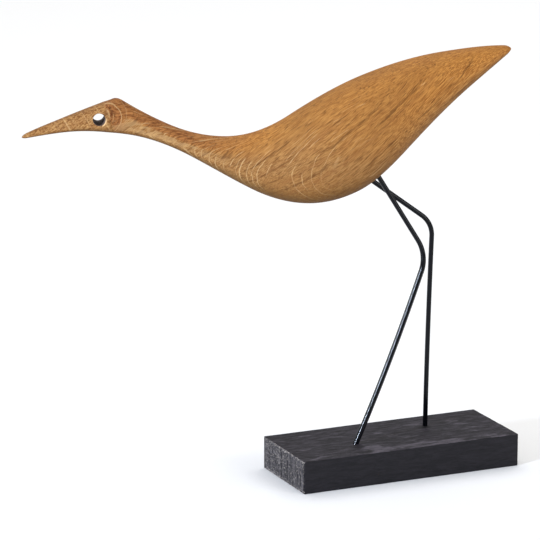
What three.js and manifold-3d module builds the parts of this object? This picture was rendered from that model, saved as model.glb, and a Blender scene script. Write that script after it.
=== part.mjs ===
// Wooden heron figure: a bird carved from one piece of oak, on two bent steel rods in a stained oak block.
// Millimetres, +Z up. The origin is the centre of the block's underside, and the block lies along X.

import * as THREE from "three";
import { RoundedBoxGeometry } from "three/addons/geometries/RoundedBoxGeometry.js";
import { mergeVertices } from "three/addons/utils/BufferGeometryUtils.js";
import Module from "manifold-3d";

// The block
const BLOCK_LENGTH = 150;
const BLOCK_WIDTH = 62;
const BLOCK_HEIGHT = 21;
const BLOCK_EDGE_ROUND = 0.7;

// The bird stands turned on its block, its beak towards the front left corner and its tail to the right.
// Everything on the bird is given as along (towards the tail), across (towards its right side) and height.
const BIRD_TURN = THREE.MathUtils.degToRad(-18.5);

// The back and the belly in side view. Each mark is along, height and slope, and the line runs smoothly between.
const BEAK_TIP = -231.6;
const TAIL_TIP = 73.2;
const UPPER_LINE = [
  [BEAK_TIP, 220.5, 0.5],
  [-205, 231.4, 0.39],
  [-179.5, 240.85, 0.37],
  [-175.5, 242.55, 0.46],
  [-169, 241.55, -0.64],
  [-140, 225.7, -0.45],
  [-105, 217.5, -0.02],
  [-65, 229.95, 0.63],
  [-20, 253.95, 0.4],
  [30, 268.05, 0.15],
  [68, 271.6, -0.01],
  [TAIL_TIP, 270.7, -0.25],
];
const LOWER_LINE = [
  [BEAK_TIP, 218.5, 0.15],
  [-195, 222.95, 0.01],
  [-165, 219.9, -0.18],
  [-125, 204.4, -0.57],
  [-90, 184.4, -0.53],
  [-55, 174.25, -0.04],
  [-22, 181.8, 0.5],
  [10, 209.95, 1.09],
  [45, 244.6, 0.86],
  [TAIL_TIP, 268.5, 0.87],
];

// Half the thickness from side to side: beak tip, eye, the cheek's crease, behind it, neck, breast, broadest, rump
// and tail tip. The crease leans forward towards the crown.
const HALF_THICKNESS = [
  [BEAK_TIP, 2, 0.07],
  [-184, 9.1, 0.12],
  [-179, 9.5, 0.04],
  [-177.6, 9.2, -0.6],
  [-172, 6.7, -0.2],
  [-147, 5.9, 0],
  [-95, 12.8, 0.28],
  [-30, 26.5, 0],
  [25, 17, -0.28],
  [TAIL_TIP, 3.4, -0.24],
];
const CREASE_LEAN = 2;

// How square each cross-section is above and below its widest place: 2 is an ellipse and more is squarer.
const UPPER_SQUARENESS = [
  [BEAK_TIP, 2.3, 0.01],
  [-200, 2.7, 0.01],
  [-181, 2.8, 0],
  [-173, 1.7, 0],
  [-130, 1.55, 0],
  [-60, 2.1, 0],
  [TAIL_TIP, 2.2, 0],
];
const LOWER_SQUARENESS = [
  [BEAK_TIP, 2.3, 0.02],
  [-190, 2.7, 0],
  [-178, 2.7, 0],
  [-160, 2.3, 0],
  [-30, 2.15, 0],
  [TAIL_TIP, 2.5, 0],
];
const BEAK_END_ROUND = 3;
const TAIL_END_ROUND = 3;

// The eye is a hole drilled straight through the head, with a small bevel at each mouth.
const EYE_ALONG = -184;
const EYE_HEIGHT = 231.3;
const EYE_DIAMETER = 7.6;
const EYE_BEVEL_FROM = 8.7;
const EYE_HALF_LENGTH = 14;

// The legs: one rod each, bent once at the knee and set in blind holes. The hip, where the rod leaves the belly,
// and the knee are along and height. The foot is a place on the top of the block, in the block's own directions.
const ROD_DIAMETER = 3;
const HIP_ACROSS = 5;
const BODY_SOCKET_DEPTH = 16;
const BLOCK_SOCKET_DEPTH = 14;
const SOCKET_CLEARANCE = 0.3;
const LEFT_LEG = { side: -1, hip: [-9.2, 189.5], knee: [20.8, 140.2], foot: [-29.2, -7.6], bend: 23.6, bow: 1.3 };
const RIGHT_LEG = { side: 1, hip: [-14.3, 187.3], knee: [25.9, 157.6], foot: [29.4, 10.4], bend: 16.7, bow: -0.4 };

// How finely the faceted solids are cut
const RING_SIDES = 36;
const ROD_SIDES = 10;
const ROD_STEPS_PER_STRETCH = 8;
const SOCKET_SIDES = 16;
const EYE_SIDES = 28;

const wasm = await Module();
wasm.setup();

function solidOf(geometry) {
  const bare = new THREE.BufferGeometry();
  bare.setAttribute("position", geometry.getAttribute("position"));
  bare.setIndex(geometry.getIndex());
  const merged = mergeVertices(bare, 1e-4);
  return new wasm.Manifold(new wasm.Mesh({
    numProp: 3,
    vertProperties: new Float32Array(merged.getAttribute("position").array),
    triVerts: new Uint32Array(merged.getIndex().array),
  }));
}

function geometryOf(solid) {
  const mesh = solid.getMesh();
  const geometry = new THREE.BufferGeometry();
  geometry.setAttribute("position", new THREE.BufferAttribute(mesh.vertProperties, mesh.numProp));
  geometry.setIndex(new THREE.BufferAttribute(mesh.triVerts, 1));
  geometry.computeVertexNormals();
  return geometry;
}

// The height of a line of marks at this place along: a cubic between two marks that keeps both slopes.
function lineAt(marks, along) {
  const last = marks.length - 2;
  const found = marks.findIndex((mark) => mark[0] > along) - 1;
  const first = found < 0 ? last : found;
  const [x0, y0, slope0] = marks[first];
  const [x1, y1, slope1] = marks[first + 1];
  const gap = x1 - x0;
  const t = (along - x0) / gap;
  const blend = t * t * (3 - 2 * t);
  return y0 + (y1 - y0) * blend + gap * t * (1 - t) * ((1 - t) * slope0 - t * slope1);
}

// 1 along the bird, falling to 0 on a quarter circle at the beak's tip and at the tail's tip.
function endRounding(along) {
  const beak = Math.min((along - BEAK_TIP) / BEAK_END_ROUND, 1);
  const tail = Math.min((TAIL_TIP - along) / TAIL_END_ROUND, 1);
  const circle = (share) => Math.sqrt(Math.max(1 - (1 - share) ** 2, 0));
  return circle(beak) * circle(tail);
}

// One upright cross-section of the bird: a superellipse between its back line and its belly line.
function ringAt(along) {
  const upper = lineAt(UPPER_LINE, along);
  const lower = lineAt(LOWER_LINE, along);
  const shrink = endRounding(along);
  return Array.from({ length: RING_SIDES }, (_, i) => {
    const sideways = Math.cos((2 * Math.PI * i) / RING_SIDES);
    const upwards = Math.sin((2 * Math.PI * i) / RING_SIDES);
    const power = 2 / lineAt(upwards > 0 ? UPPER_SQUARENESS : LOWER_SQUARENESS, along);
    const leaning = THREE.MathUtils.clamp(along + CREASE_LEAN * upwards, BEAK_TIP, TAIL_TIP);
    const across = lineAt(HALF_THICKNESS, leaning) * shrink * Math.sign(sideways) * Math.abs(sideways) ** power;
    const rise = ((upper - lower) / 2) * shrink * Math.sign(upwards) * Math.abs(upwards) ** power;
    return [along, across, (upper + lower) / 2 + rise];
  });
}

// Places along a stretch, evenly spaced or crowded towards one end by a cosine.
function even(from, to, count) {
  return Array.from({ length: count }, (_, i) => from + ((to - from) * i) / count);
}

function crowded(tip, reach, count) {
  return Array.from({ length: count }, (_, i) => {
    return tip + reach * (1 - Math.cos(((i + 1) / (count + 1)) * (Math.PI / 2)));
  });
}

function birdStations() {
  return [
    ...crowded(BEAK_TIP, BEAK_END_ROUND, 3),
    ...even(BEAK_TIP + BEAK_END_ROUND, -181, 9),
    ...even(-181, -167, 10),
    ...even(-167, TAIL_TIP - TAIL_END_ROUND, 56),
    ...crowded(TAIL_TIP, -TAIL_END_ROUND, 4).reverse(),
  ];
}

// The bird's skin: the rings joined side by side, and closed to a point at each tip.
function birdSkin() {
  const stations = birdStations();
  const pointAt = (along) => [along, 0, (lineAt(UPPER_LINE, along) + lineAt(LOWER_LINE, along)) / 2];
  const points = [pointAt(BEAK_TIP), ...stations.flatMap(ringAt), pointAt(TAIL_TIP)];
  const tailPoint = points.length - 1;
  const vertex = (ring, side) => 1 + ring * RING_SIDES + (side % RING_SIDES);
  const faces = [];
  for (let side = 0; side < RING_SIDES; side += 1) {
    faces.push(0, vertex(0, side + 1), vertex(0, side));
    for (let ring = 0; ring < stations.length - 1; ring += 1) {
      const [a, b] = [vertex(ring, side), vertex(ring, side + 1)];
      const [c, d] = [vertex(ring + 1, side), vertex(ring + 1, side + 1)];
      faces.push(a, b, c, b, d, c);
    }
    faces.push(tailPoint, vertex(stations.length - 1, side), vertex(stations.length - 1, side + 1));
  }
  const geometry = new THREE.BufferGeometry();
  geometry.setAttribute("position", new THREE.Float32BufferAttribute(points.flat(), 3));
  geometry.setIndex(faces);
  return geometry;
}

// The drill that makes the eye: a spool turned about the across axis, wider past each mouth.
function eyeDrill() {
  const radius = EYE_DIAMETER / 2;
  const flared = radius + EYE_HALF_LENGTH - EYE_BEVEL_FROM;
  const profile = [
    [0, -EYE_HALF_LENGTH],
    [flared, -EYE_HALF_LENGTH],
    [radius, -EYE_BEVEL_FROM],
    [radius, EYE_BEVEL_FROM],
    [flared, EYE_HALF_LENGTH],
    [0, EYE_HALF_LENGTH],
  ].map(([x, y]) => new THREE.Vector2(x, y));
  const drill = new THREE.LatheGeometry(profile, EYE_SIDES);
  drill.translate(EYE_ALONG, 0, EYE_HEIGHT);
  return drill;
}

// A rod's centre line: straight thigh, round knee, and a shank that bows slightly, each on a third of the steps.
// It is laid out in side view, and the whole rod leans outwards evenly from its hip to its foot.
class BentRod extends THREE.Curve {
  constructor({ side, hip, knee, foot, bend, bow }) {
    super();
    const [footAlong, footAcross] = new THREE.Vector2(...foot).rotateAround(new THREE.Vector2(), -BIRD_TURN);
    this.side = side;
    this.hipHeight = hip[1];
    this.spread = (Math.abs(footAcross) - HIP_ACROSS) / (hip[1] - BLOCK_HEIGHT);
    const corner = new THREE.Vector2(...knee);
    const toHip = new THREE.Vector2(...hip).sub(corner).normalize();
    const toFoot = new THREE.Vector2(footAlong, BLOCK_HEIGHT).sub(corner);
    const shankLength = toFoot.length() + BLOCK_SOCKET_DEPTH;
    const thighLength = new THREE.Vector2(...hip).distanceTo(corner) + BODY_SOCKET_DEPTH;
    toFoot.normalize();
    const opening = Math.acos(toHip.dot(toFoot));
    const tangent = bend / Math.tan(opening / 2);
    const inward = toHip.clone().add(toFoot).normalize();
    this.top = corner.clone().addScaledVector(toHip, thighLength);
    this.bendStart = corner.clone().addScaledVector(toHip, tangent);
    this.bendEnd = corner.clone().addScaledVector(toFoot, tangent);
    this.end = corner.clone().addScaledVector(toFoot, shankLength);
    this.centre = corner.clone().addScaledVector(inward, bend / Math.sin(opening / 2));
    this.sweep = -(Math.PI - opening);
    const bulge = new THREE.Vector2(-toFoot.y, toFoot.x).multiplyScalar(2 * bow);
    this.control = this.bendEnd.clone().add(this.end).multiplyScalar(0.5).add(bulge);
  }

  getUtoTmapping(u) {
    return u;
  }

  getPoint(t) {
    const stretch = Math.min(Math.floor(t * 3), 2);
    const share = t * 3 - stretch;
    const point = [
      () => this.top.clone().lerp(this.bendStart, share),
      () => this.bendStart.clone().rotateAround(this.centre, this.sweep * share),
      () => new THREE.QuadraticBezierCurve(this.bendEnd, this.control, this.end).getPoint(share),
    ][stretch]();
    const across = this.side * (HIP_ACROSS + this.spread * (this.hipHeight - point.y));
    return new THREE.Vector3(point.x, across, point.y);
  }
}

function rodGeometry(path) {
  const section = new THREE.Shape().absarc(0, 0, ROD_DIAMETER / 2, 0, 2 * Math.PI);
  return new THREE.ExtrudeGeometry(section, {
    steps: 3 * ROD_STEPS_PER_STRETCH,
    curveSegments: ROD_SIDES,
    extrudePath: path,
  });
}

// The drill for one end of a rod: it starts just past the rod's end and comes out well past the surface.
function socketDrill(path, atTop, reach) {
  const end = path.getPoint(atTop ? 0 : 1);
  const outwards = path.getTangent(atTop ? 0 : 1).multiplyScalar(atTop ? 1 : -1);
  const radius = ROD_DIAMETER / 2 + SOCKET_CLEARANCE;
  const drill = new THREE.CylinderGeometry(radius, radius, reach, SOCKET_SIDES);
  drill.applyQuaternion(new THREE.Quaternion().setFromUnitVectors(new THREE.Vector3(0, 1, 0), outwards));
  const centre = end.addScaledVector(outwards, reach / 2 - SOCKET_CLEARANCE);
  return drill.translate(centre.x, centre.y, centre.z);
}

function birdGeometry(rods) {
  const drills = rods.map((rod) => solidOf(socketDrill(rod, true, BODY_SOCKET_DEPTH + 12)));
  const carved = solidOf(birdSkin()).subtract(solidOf(eyeDrill()));
  return geometryOf(drills.reduce((solid, drill) => solid.subtract(drill), carved));
}

// The block is made in its own frame, and the sockets are turned into it with the bird.
function blockGeometry(rods) {
  const box = new RoundedBoxGeometry(BLOCK_LENGTH, BLOCK_WIDTH, BLOCK_HEIGHT, 2, BLOCK_EDGE_ROUND);
  box.translate(0, 0, BLOCK_HEIGHT / 2);
  const drills = rods.map((rod) => solidOf(socketDrill(rod, false, BLOCK_SOCKET_DEPTH + 8).rotateZ(BIRD_TURN)));
  return geometryOf(drills.reduce((solid, drill) => solid.subtract(drill), solidOf(box)));
}

const oiledOak = () => new THREE.MeshStandardMaterial({ color: 0xbf8a4c, roughness: 0.55 });
const blackSteel = () => new THREE.MeshStandardMaterial({ color: 0x1b1d22, roughness: 0.35, metalness: 0.3 });
const stainedOak = () => new THREE.MeshStandardMaterial({ color: 0x34323a, roughness: 0.6 });

function named(name, geometry, material) {
  const mesh = new THREE.Mesh(geometry, material);
  mesh.name = name;
  return mesh;
}

const leftRod = new BentRod(LEFT_LEG);
const rightRod = new BentRod(RIGHT_LEG);

const heron = new THREE.Group();
const turned = new THREE.Group();
turned.rotation.z = BIRD_TURN;
turned.add(named("bird", birdGeometry([leftRod, rightRod]), oiledOak()));
turned.add(named("left_leg", rodGeometry(leftRod), blackSteel()));
turned.add(named("right_leg", rodGeometry(rightRod), blackSteel()));
heron.add(turned);
heron.add(named("base_block", blockGeometry([leftRod, rightRod]), stainedOak()));

export default heron;
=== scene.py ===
# A long-necked wading bird carved in oak, leaning forward on two bent steel rods in a black-stained
# oak block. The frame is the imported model's own: metres, +Z up, the origin at the centre of the
# block's underside, and the block along X. Sizes are written in millimetres, and turned to metres
# where a mesh is made.

import bpy
import numpy as np
from mathutils import Matrix, Vector


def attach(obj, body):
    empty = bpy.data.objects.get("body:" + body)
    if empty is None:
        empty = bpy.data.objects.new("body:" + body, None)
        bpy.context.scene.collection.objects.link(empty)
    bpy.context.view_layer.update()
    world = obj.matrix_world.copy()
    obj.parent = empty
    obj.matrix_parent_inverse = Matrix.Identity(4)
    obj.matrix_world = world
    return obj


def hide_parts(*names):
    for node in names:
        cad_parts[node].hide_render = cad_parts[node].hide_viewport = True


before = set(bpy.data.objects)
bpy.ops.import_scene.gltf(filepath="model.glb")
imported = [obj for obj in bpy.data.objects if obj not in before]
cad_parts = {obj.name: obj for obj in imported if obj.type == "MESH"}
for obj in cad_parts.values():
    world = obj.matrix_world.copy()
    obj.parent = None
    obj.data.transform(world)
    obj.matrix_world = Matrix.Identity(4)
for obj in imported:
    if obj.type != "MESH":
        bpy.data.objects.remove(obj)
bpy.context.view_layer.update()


# The base block: oak sawn square and sanded, its edges broken with paper, then stained charcoal
# black so that the grain only just shows. It lies flat on the table, and the two rods are set into
# its top.

BLOCK_LENGTH = 150
BLOCK_WIDTH = 62
BLOCK_HEIGHT = 21
CORNER_ROUND = 0.65
EDGE_ROUND = 0.4
EDGE_WEAR = 0.2
# How far the wear's waver runs on in a millimetre along the block and across it, in radians.
WEAR_PER_MM = (0.11, 0.17)
UPPER_WEAR_SHIFT = 60
ROUND_POINTS = 7
SIDE_POINTS = 40
# The rings on the flat underside and top, as shares of the outline.
FLAT_SHARES = (0.05, 0.35, 0.7, 0.97)


def block_rings():
    """The block's skin as rings from the centre of the underside to the centre of the top. Each
    ring is the core rectangle, pushed out along its own outward direction by the corner's radius
    less an inset. The inset and the height go round a quarter circle at the lower and at the upper
    edge, and the flats are the edge rings shrunk towards the middle. The edge's radius wavers along
    the outline as the sum of three sines, as hand sanding leaves it, and the upper edge has the
    lower one's waver some points further on."""
    quarter = np.arange(4)[:, None] * np.pi / 2
    turn = quarter + np.linspace(0, np.pi / 2, ROUND_POINTS)
    heading = np.stack([np.cos(quarter + np.pi / 4), np.sin(quarter + np.pi / 4)], axis=-1)
    core_half = np.array([BLOCK_LENGTH, BLOCK_WIDTH]) / 2 - CORNER_ROUND
    corners = np.sign(heading) * core_half
    share = np.linspace(0, 1, SIDE_POINTS + 2)[1:-1, None]
    straights = corners * (1 - share) + np.roll(corners, -1, axis=0) * share
    core = np.concatenate([np.repeat(corners, ROUND_POINTS, axis=1), straights], axis=1)
    core = core.reshape(-1, 2)
    side_turn = np.repeat(quarter + np.pi / 2, SIDE_POINTS, axis=1)
    turn = np.concatenate([turn, side_turn], axis=1).reshape(-1)
    outward = np.stack([np.cos(turn), np.sin(turn)], axis=-1)
    around = core @ WEAR_PER_MM
    waver = np.sin(around) + 0.6 * np.sin(2.7 * around + 1) + 0.4 * np.sin(6.1 * around + 2)
    lower = EDGE_ROUND + EDGE_WEAR * 0.5 * waver
    upper = EDGE_ROUND + EDGE_WEAR * 0.5 * np.roll(waver, UPPER_WEAR_SHIFT)
    climb = np.linspace(0, np.pi / 2, ROUND_POINTS)[:, None]
    inset = np.vstack([lower * (1 - np.sin(climb)), upper * (1 - np.cos(climb))])
    height = np.vstack([lower * (1 - np.cos(climb)), BLOCK_HEIGHT - upper * (1 - np.sin(climb))])
    edge = core + (CORNER_ROUND - inset)[:, :, None] * outward
    shrink = np.array(FLAT_SHARES)[:, None, None]
    outlines = np.concatenate([edge[:1] * shrink, edge, edge[-1:] * shrink[::-1]])
    level = np.ones((len(shrink), 1))
    heights = np.vstack([height[:1] * level, height, height[-1:] * level])
    return np.concatenate([outlines, heights[:, :, None]], axis=-1)


def closed_skin(name, rings, first_point, last_point):
    """A mesh closed all round, in metres, from rings x sides x 3 in millimetres. Every quad joins
    two rings and two neighbouring sides, and a fan joins the first and the last ring to a point.
    The sides run anticlockwise when the rings come towards the eye, so that the faces point
    outwards."""
    count, sides = rings.shape[:2]
    vertices = np.vstack([rings.reshape(-1, 3), first_point, last_point]) / 1000
    ring, side = np.meshgrid(np.arange(count - 1) * sides, np.arange(sides), indexing="ij")
    after = (side + 1) % sides
    above = ring + sides
    quads = np.stack([ring + side, ring + after, above + after, above + side], axis=-1)
    around = np.arange(sides)
    onward = (around + 1) % sides
    first_fan = np.stack([np.full(sides, count * sides), onward, around], axis=-1)
    last = (count - 1) * sides
    last_fan = np.stack([np.full(sides, count * sides + 1), last + around, last + onward], axis=-1)
    mesh = bpy.data.meshes.new(name)
    faces = quads.reshape(-1, 4).tolist() + first_fan.tolist() + last_fan.tolist()
    mesh.from_pydata(vertices.tolist(), [], faces)
    mesh.shade_smooth()
    piece = bpy.data.objects.new(name, mesh)
    bpy.context.scene.collection.objects.link(piece)
    return piece


def colour(code):
    """The linear colour of an sRGB hex value: each part over 12.92 where it is dark, and else by a
    power of 2.4."""
    part = np.array([int(code[i : i + 2], 16) for i in (0, 2, 4)]) / 255
    return (*np.where(part <= 0.04045, part / 12.92, ((part + 0.055) / 1.055) ** 2.4).tolist(), 1)


def new_material(name):
    """A material with no nodes in it yet."""
    material = bpy.data.materials.new(name)
    material.use_nodes = True
    material.node_tree.nodes.clear()
    return material


def add(material, kind, settings=None, inputs=None):
    """Adds a node with its settings, and puts a value or another node's output on each input, which
    is found by its name or its number among the inputs in use. Returns the node's first output in
    use."""
    made = material.node_tree.nodes.new("ShaderNode" + kind)
    for name, value in (settings or {}).items():
        setattr(made, name, value)
    in_use = [socket for socket in made.inputs if socket.enabled]
    for name, value in (inputs or {}).items():
        named = isinstance(name, str)
        socket = next(s for s in in_use if s.name == name) if named else in_use[name]
        if isinstance(value, bpy.types.NodeSocket):
            material.node_tree.links.new(value, socket)
        else:
            socket.default_value = value
    return next((socket for socket in made.outputs if socket.enabled), None)


# Settings that many nodes share: a soft step from one value to another, and a blend of two colours.
SMOOTH = {"interpolation_type": "SMOOTHSTEP"}
IN_COLOUR = {"data_type": "RGBA"}


def stretched_noise(material, place, per_mm, detail, roughness=0.5):
    """Noise drawn out along the grain: it is looked up at a place in millimetres, times the number
    of its blotches to a millimetre along each of the three directions."""
    stretched = add(material, "VectorMath", {"operation": "MULTIPLY"}, {0: place, 1: per_mm})
    return add(material, "TexNoise", {}, {
        "Vector": stretched, "Scale": 1, "Detail": detail, "Roughness": roughness
    })


def wander(material, place, per_mm):
    """How far the grain strays from its straight course: three such noises at once, less a half."""
    strays = stretched_noise(material, place, per_mm, 1).node.outputs["Color"]
    return add(material, "VectorMath", {"operation": "SUBTRACT"}, {0: strays, 1: (0.5, 0.5, 0.5)})


def spoke_from(material, place, centre, stretch):
    """The way from a centre to a place, in millimetres, times a stretch along each direction."""
    spoke = add(material, "VectorMath", {"operation": "SUBTRACT"}, {0: place, 1: centre})
    return add(material, "VectorMath", {"operation": "MULTIPLY"}, {0: spoke, 1: stretch})


# Charcoal-stained oak: the stain sinks into the open pores, so that they are the darkest, and it is
# rubbed thin on the top and most on the end grain. The eye gets a dull, soft black, with brown-grey
# streaks on the top.
stained_oak = new_material("charcoal_stained_oak")
block_object = add(stained_oak, "TexCoord").node
block_mm = add(stained_oak, "VectorMath", {"operation": "SCALE"}, {
    "Vector": block_object.outputs["Object"], "Scale": 1000
})
block_parts = add(stained_oak, "SeparateXYZ", {}, {"Vector": block_mm}).node
# The grain runs along the block and wanders by a millimetre over about 30 mm.
block_wander = wander(stained_oak, block_mm, (0.035, 0.08, 0.08))
block_grain = add(stained_oak, "VectorMath", {"operation": "MULTIPLY_ADD"}, {
    0: block_wander, 1: (0, 5, 5), 2: block_mm
})
# Pores are dark lines 0.7 mm wide and 12 mm long, twice as coarse as real so that they show.
block_pores = stretched_noise(stained_oak, block_grain, (0.08, 1.5, 1.5), detail=2, roughness=0.6)
block_pore_share = add(stained_oak, "MapRange", SMOOTH, {
    "Value": block_pores, "From Min": 0.5, "From Max": 0.66
})
# Streaks, about 2 mm wide and 11 mm long.
block_streaks = stretched_noise(stained_oak, block_grain, (0.09, 0.5, 0.5), detail=4, roughness=0.7)
streak_share = add(stained_oak, "MapRange", SMOOTH, {
    "Value": block_streaks, "From Min": 0.36, "From Max": 0.66
})
side_colour = add(stained_oak, "Mix", IN_COLOUR, {
    "Factor": streak_share, "A": colour("1a191d"), "B": colour("211f24")
})
top_colour = add(stained_oak, "Mix", IN_COLOUR, {
    "Factor": streak_share, "A": colour("19161b"), "B": colour("38333b")
})
# Patches on the top where the stain is thin, about 6 mm wide and 14 mm long.
thin_stain_and_sheen = stretched_noise(stained_oak, block_grain, (0.07, 0.16, 0.16), detail=3, roughness=0.6)
# They are most within 7 mm of the front edge, where hands have taken hold of the block.
near_front = add(stained_oak, "MapRange", {}, {
    "Value": block_parts.outputs["Y"],
    "From Min": 10 - BLOCK_WIDTH / 2,
    "From Max": 7 - BLOCK_WIDTH / 2,
    "To Max": 0.13,
})
thin_stain_and_sheen = add(stained_oak, "Math", {"operation": "ADD"}, {0: thin_stain_and_sheen, 1: near_front})
# A painted pale sheen lies between the near foot and the front edge, 9 mm to each side and 4.5 mm
# to the front and back, and adds to the patches.
foot_sheen_middle = (-22, -18, BLOCK_HEIGHT)
painted_foot_sheen = spoke_from(stained_oak, block_mm, foot_sheen_middle, (0.11, 0.22, 1))
painted_foot_sheen = add(stained_oak, "VectorMath", {"operation": "LENGTH"}, {0: painted_foot_sheen})
painted_foot_sheen = add(stained_oak, "MapRange", {}, {
    "Value": painted_foot_sheen, "From Min": 1, "From Max": 0.4, "To Max": 0.24
})
thin_stain_and_sheen = add(stained_oak, "Math", {"operation": "ADD"}, {0: thin_stain_and_sheen, 1: painted_foot_sheen})
# The thin stain and the painted sheen by the foot, lightening the top together.
thin_stain_and_sheen_share = add(stained_oak, "MapRange", SMOOTH, {
    "Value": thin_stain_and_sheen, "From Min": 0.57, "From Max": 0.76, "To Max": 0.8
})
top_colour = add(stained_oak, "Mix", IN_COLOUR, {
    "Factor": thin_stain_and_sheen_share, "A": top_colour, "B": colour("605a63")
})
block_facing = add(stained_oak, "SeparateXYZ", {}, {"Vector": block_object.outputs["Normal"]}).node
top_mask = add(stained_oak, "MapRange", SMOOTH, {
    "Value": block_facing.outputs["Z"], "From Min": 0.35, "From Max": 0.8
})
block_colour = add(stained_oak, "Mix", IN_COLOUR, {
    "Factor": top_mask, "A": side_colour, "B": top_colour
})
pore_depth = add(stained_oak, "MapRange", {}, {"Value": top_mask, "To Min": 0.45, "To Max": 0.85})
block_pore_share = add(stained_oak, "Math", {"operation": "MULTIPLY"}, {
    0: block_pore_share, 1: pore_depth
})
block_colour = add(stained_oak, "Mix", IN_COLOUR, {
    "Factor": block_pore_share, "A": block_colour, "B": colour("0e0e10")
})
# The end grain: upright saw lines 0.9 mm wide, most towards the front, and flat flecks 2.5 mm long
# towards the back.
end_lines = stretched_noise(stained_oak, block_mm, (0.3, 1.1, 0.14), detail=3, roughness=0.7)
end_flecks = stretched_noise(stained_oak, block_mm, (0.3, 0.4, 1.7), detail=3, roughness=0.7)
towards_back = add(stained_oak, "MapRange", {}, {
    "Value": block_parts.outputs["Y"],
    "From Min": -BLOCK_WIDTH / 2,
    "From Max": BLOCK_WIDTH / 2,
    "To Min": 0.1,
})
end_tone = add(stained_oak, "Mix", {"data_type": "FLOAT"}, {
    "Factor": towards_back, "A": end_lines, "B": end_flecks
})
end_share = add(stained_oak, "MapRange", {}, {
    "Value": end_tone, "From Min": 0.38, "From Max": 0.64
})
end_colour = add(stained_oak, "Mix", IN_COLOUR, {
    "Factor": end_share, "A": colour("121013"), "B": colour("676364")
})
# A few wide rays show there as dark upright lines, 4 to 12 mm apart.
ray_waver = add(stained_oak, "Math", {"operation": "MULTIPLY_ADD"}, {
    0: block_wander, 1: 1.5, 2: block_parts.outputs["Y"]
})
end_rays = add(stained_oak, "TexNoise", {"noise_dimensions": "1D"}, {
    "W": ray_waver, "Scale": 0.23, "Detail": 0
})
end_rays = add(stained_oak, "Math", {"operation": "SUBTRACT"}, {0: end_rays, 1: 0.5})
end_rays = add(stained_oak, "Math", {"operation": "ABSOLUTE"}, {0: end_rays})
end_rays = add(stained_oak, "MapRange", {}, {
    "Value": end_rays, "From Min": 0.04, "From Max": 0.015, "To Max": 0.85
})
end_colour = add(stained_oak, "Mix", IN_COLOUR, {
    "Factor": end_rays, "A": end_colour, "B": colour("1c1a1d")
})
# Specks where the stain is off, 0.7 mm wide, and more of them along the end's upper and lower
# edges.
specks = stretched_noise(stained_oak, block_mm, (0.5, 1.4, 1.4), detail=2)
from_middle = add(stained_oak, "Math", {"operation": "SUBTRACT"}, {
    0: block_parts.outputs["Z"], 1: BLOCK_HEIGHT / 2
})
from_middle = add(stained_oak, "Math", {"operation": "ABSOLUTE"}, {0: from_middle})
near_edge = add(stained_oak, "MapRange", {}, {
    "Value": from_middle,
    "From Min": BLOCK_HEIGHT / 2 - 2,
    "From Max": BLOCK_HEIGHT / 2 - 0.5,
    "To Max": 0.1,
})
specks = add(stained_oak, "Math", {"operation": "ADD"}, {0: specks, 1: near_edge})
speck_share = add(stained_oak, "MapRange", SMOOTH, {
    "Value": specks, "From Min": 0.61, "From Max": 0.69, "To Max": 0.9
})
end_colour = add(stained_oak, "Mix", IN_COLOUR, {
    "Factor": speck_share, "A": end_colour, "B": colour("b5aca2")
})
facing_end = add(stained_oak, "Math", {"operation": "ABSOLUTE"}, {0: block_facing.outputs["X"]})
end_mask = add(stained_oak, "MapRange", SMOOTH, {
    "Value": facing_end, "From Min": 0.55, "From Max": 0.85
})
block_colour = add(stained_oak, "Mix", IN_COLOUR, {
    "Factor": end_mask, "A": block_colour, "B": end_colour
})
block_height = add(stained_oak, "Math", {"operation": "MULTIPLY_ADD"}, {
    0: block_pore_share, 1: -1, 2: block_streaks
})
block_bump = add(stained_oak, "Bump", {}, {
    "Strength": 0.5, "Distance": 0.0003, "Height": block_height
})
block_roughness = add(stained_oak, "MapRange", {}, {
    "Value": block_streaks, "From Min": 0.3, "From Max": 0.7, "To Min": 0.66, "To Max": 0.54
})
# The end grain is duller than the sides.
block_specular = add(stained_oak, "MapRange", {}, {
    "Value": end_mask, "To Min": 0.2, "To Max": 0.03
})
block_shader = add(stained_oak, "BsdfPrincipled", {}, {
    "Base Color": block_colour,
    "Roughness": block_roughness,
    "IOR": 1.45,
    "Specular IOR Level": block_specular,
    "Normal": block_bump,
})
add(stained_oak, "OutputMaterial", {}, {"Surface": block_shader})

base_block = closed_skin("base_block_stained", block_rings(), (0, 0, 0), (0, 0, BLOCK_HEIGHT))
base_block.data.materials.append(stained_oak)
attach(base_block, "root")
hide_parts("base_block")


# The legs: two 3 mm steel rods, each bent cold at the knee and dipped in black lacquer, which has
# run down and lies thickest on the left shank. Their lower ends are glued into the block and their
# upper ends into the belly, and they splay a little towards the feet.

BIRD_TURN = np.radians(-18.5)
# With the lacquer, above the knee and below it.
LEFT_ROD_DIAMETERS = (3.05, 3.5)
RIGHT_ROD_DIAMETERS = (3.15, 3.1)
HIP_ACROSS = 5
BODY_SOCKET_DEPTH = 16
BLOCK_SOCKET_DEPTH = 14
THIGH_POINTS = 24
SHANK_POINTS = 61
ROD_SIDES = 28
# The diameter changes between these shares of the rod's points, counted from the belly.
THICKER_FROM = 0.22
THICKER_TO = 0.42
# The hip and the knee are given along the bird and in height, and the foot along and across the
# block. The bend is the radius of the knee, and the bow is how far the shank leaves a straight
# line.
LEFT_LEG = {
    "side": -1,
    "hip": (-9.2, 189.5),
    "knee": (20.8, 140.2),
    "foot": (-29.2, -7.6),
    "bend": 23.6,
    "bow": 1.3,
}
RIGHT_LEG = {
    "side": 1,
    "hip": (-14.3, 187.3),
    "knee": (25.9, 157.6),
    "foot": (29.4, 10.4),
    "bend": 16.7,
    "bow": -0.4,
}


def to_block(points):
    """Points of the bird, as along, across and height, turned about the upright axis into the
    block's directions."""
    across, along = np.sin(BIRD_TURN), np.cos(BIRD_TURN)
    turn = np.array([[along, across, 0], [-across, along, 0], [0, 0, 1]])
    return points @ turn


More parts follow.
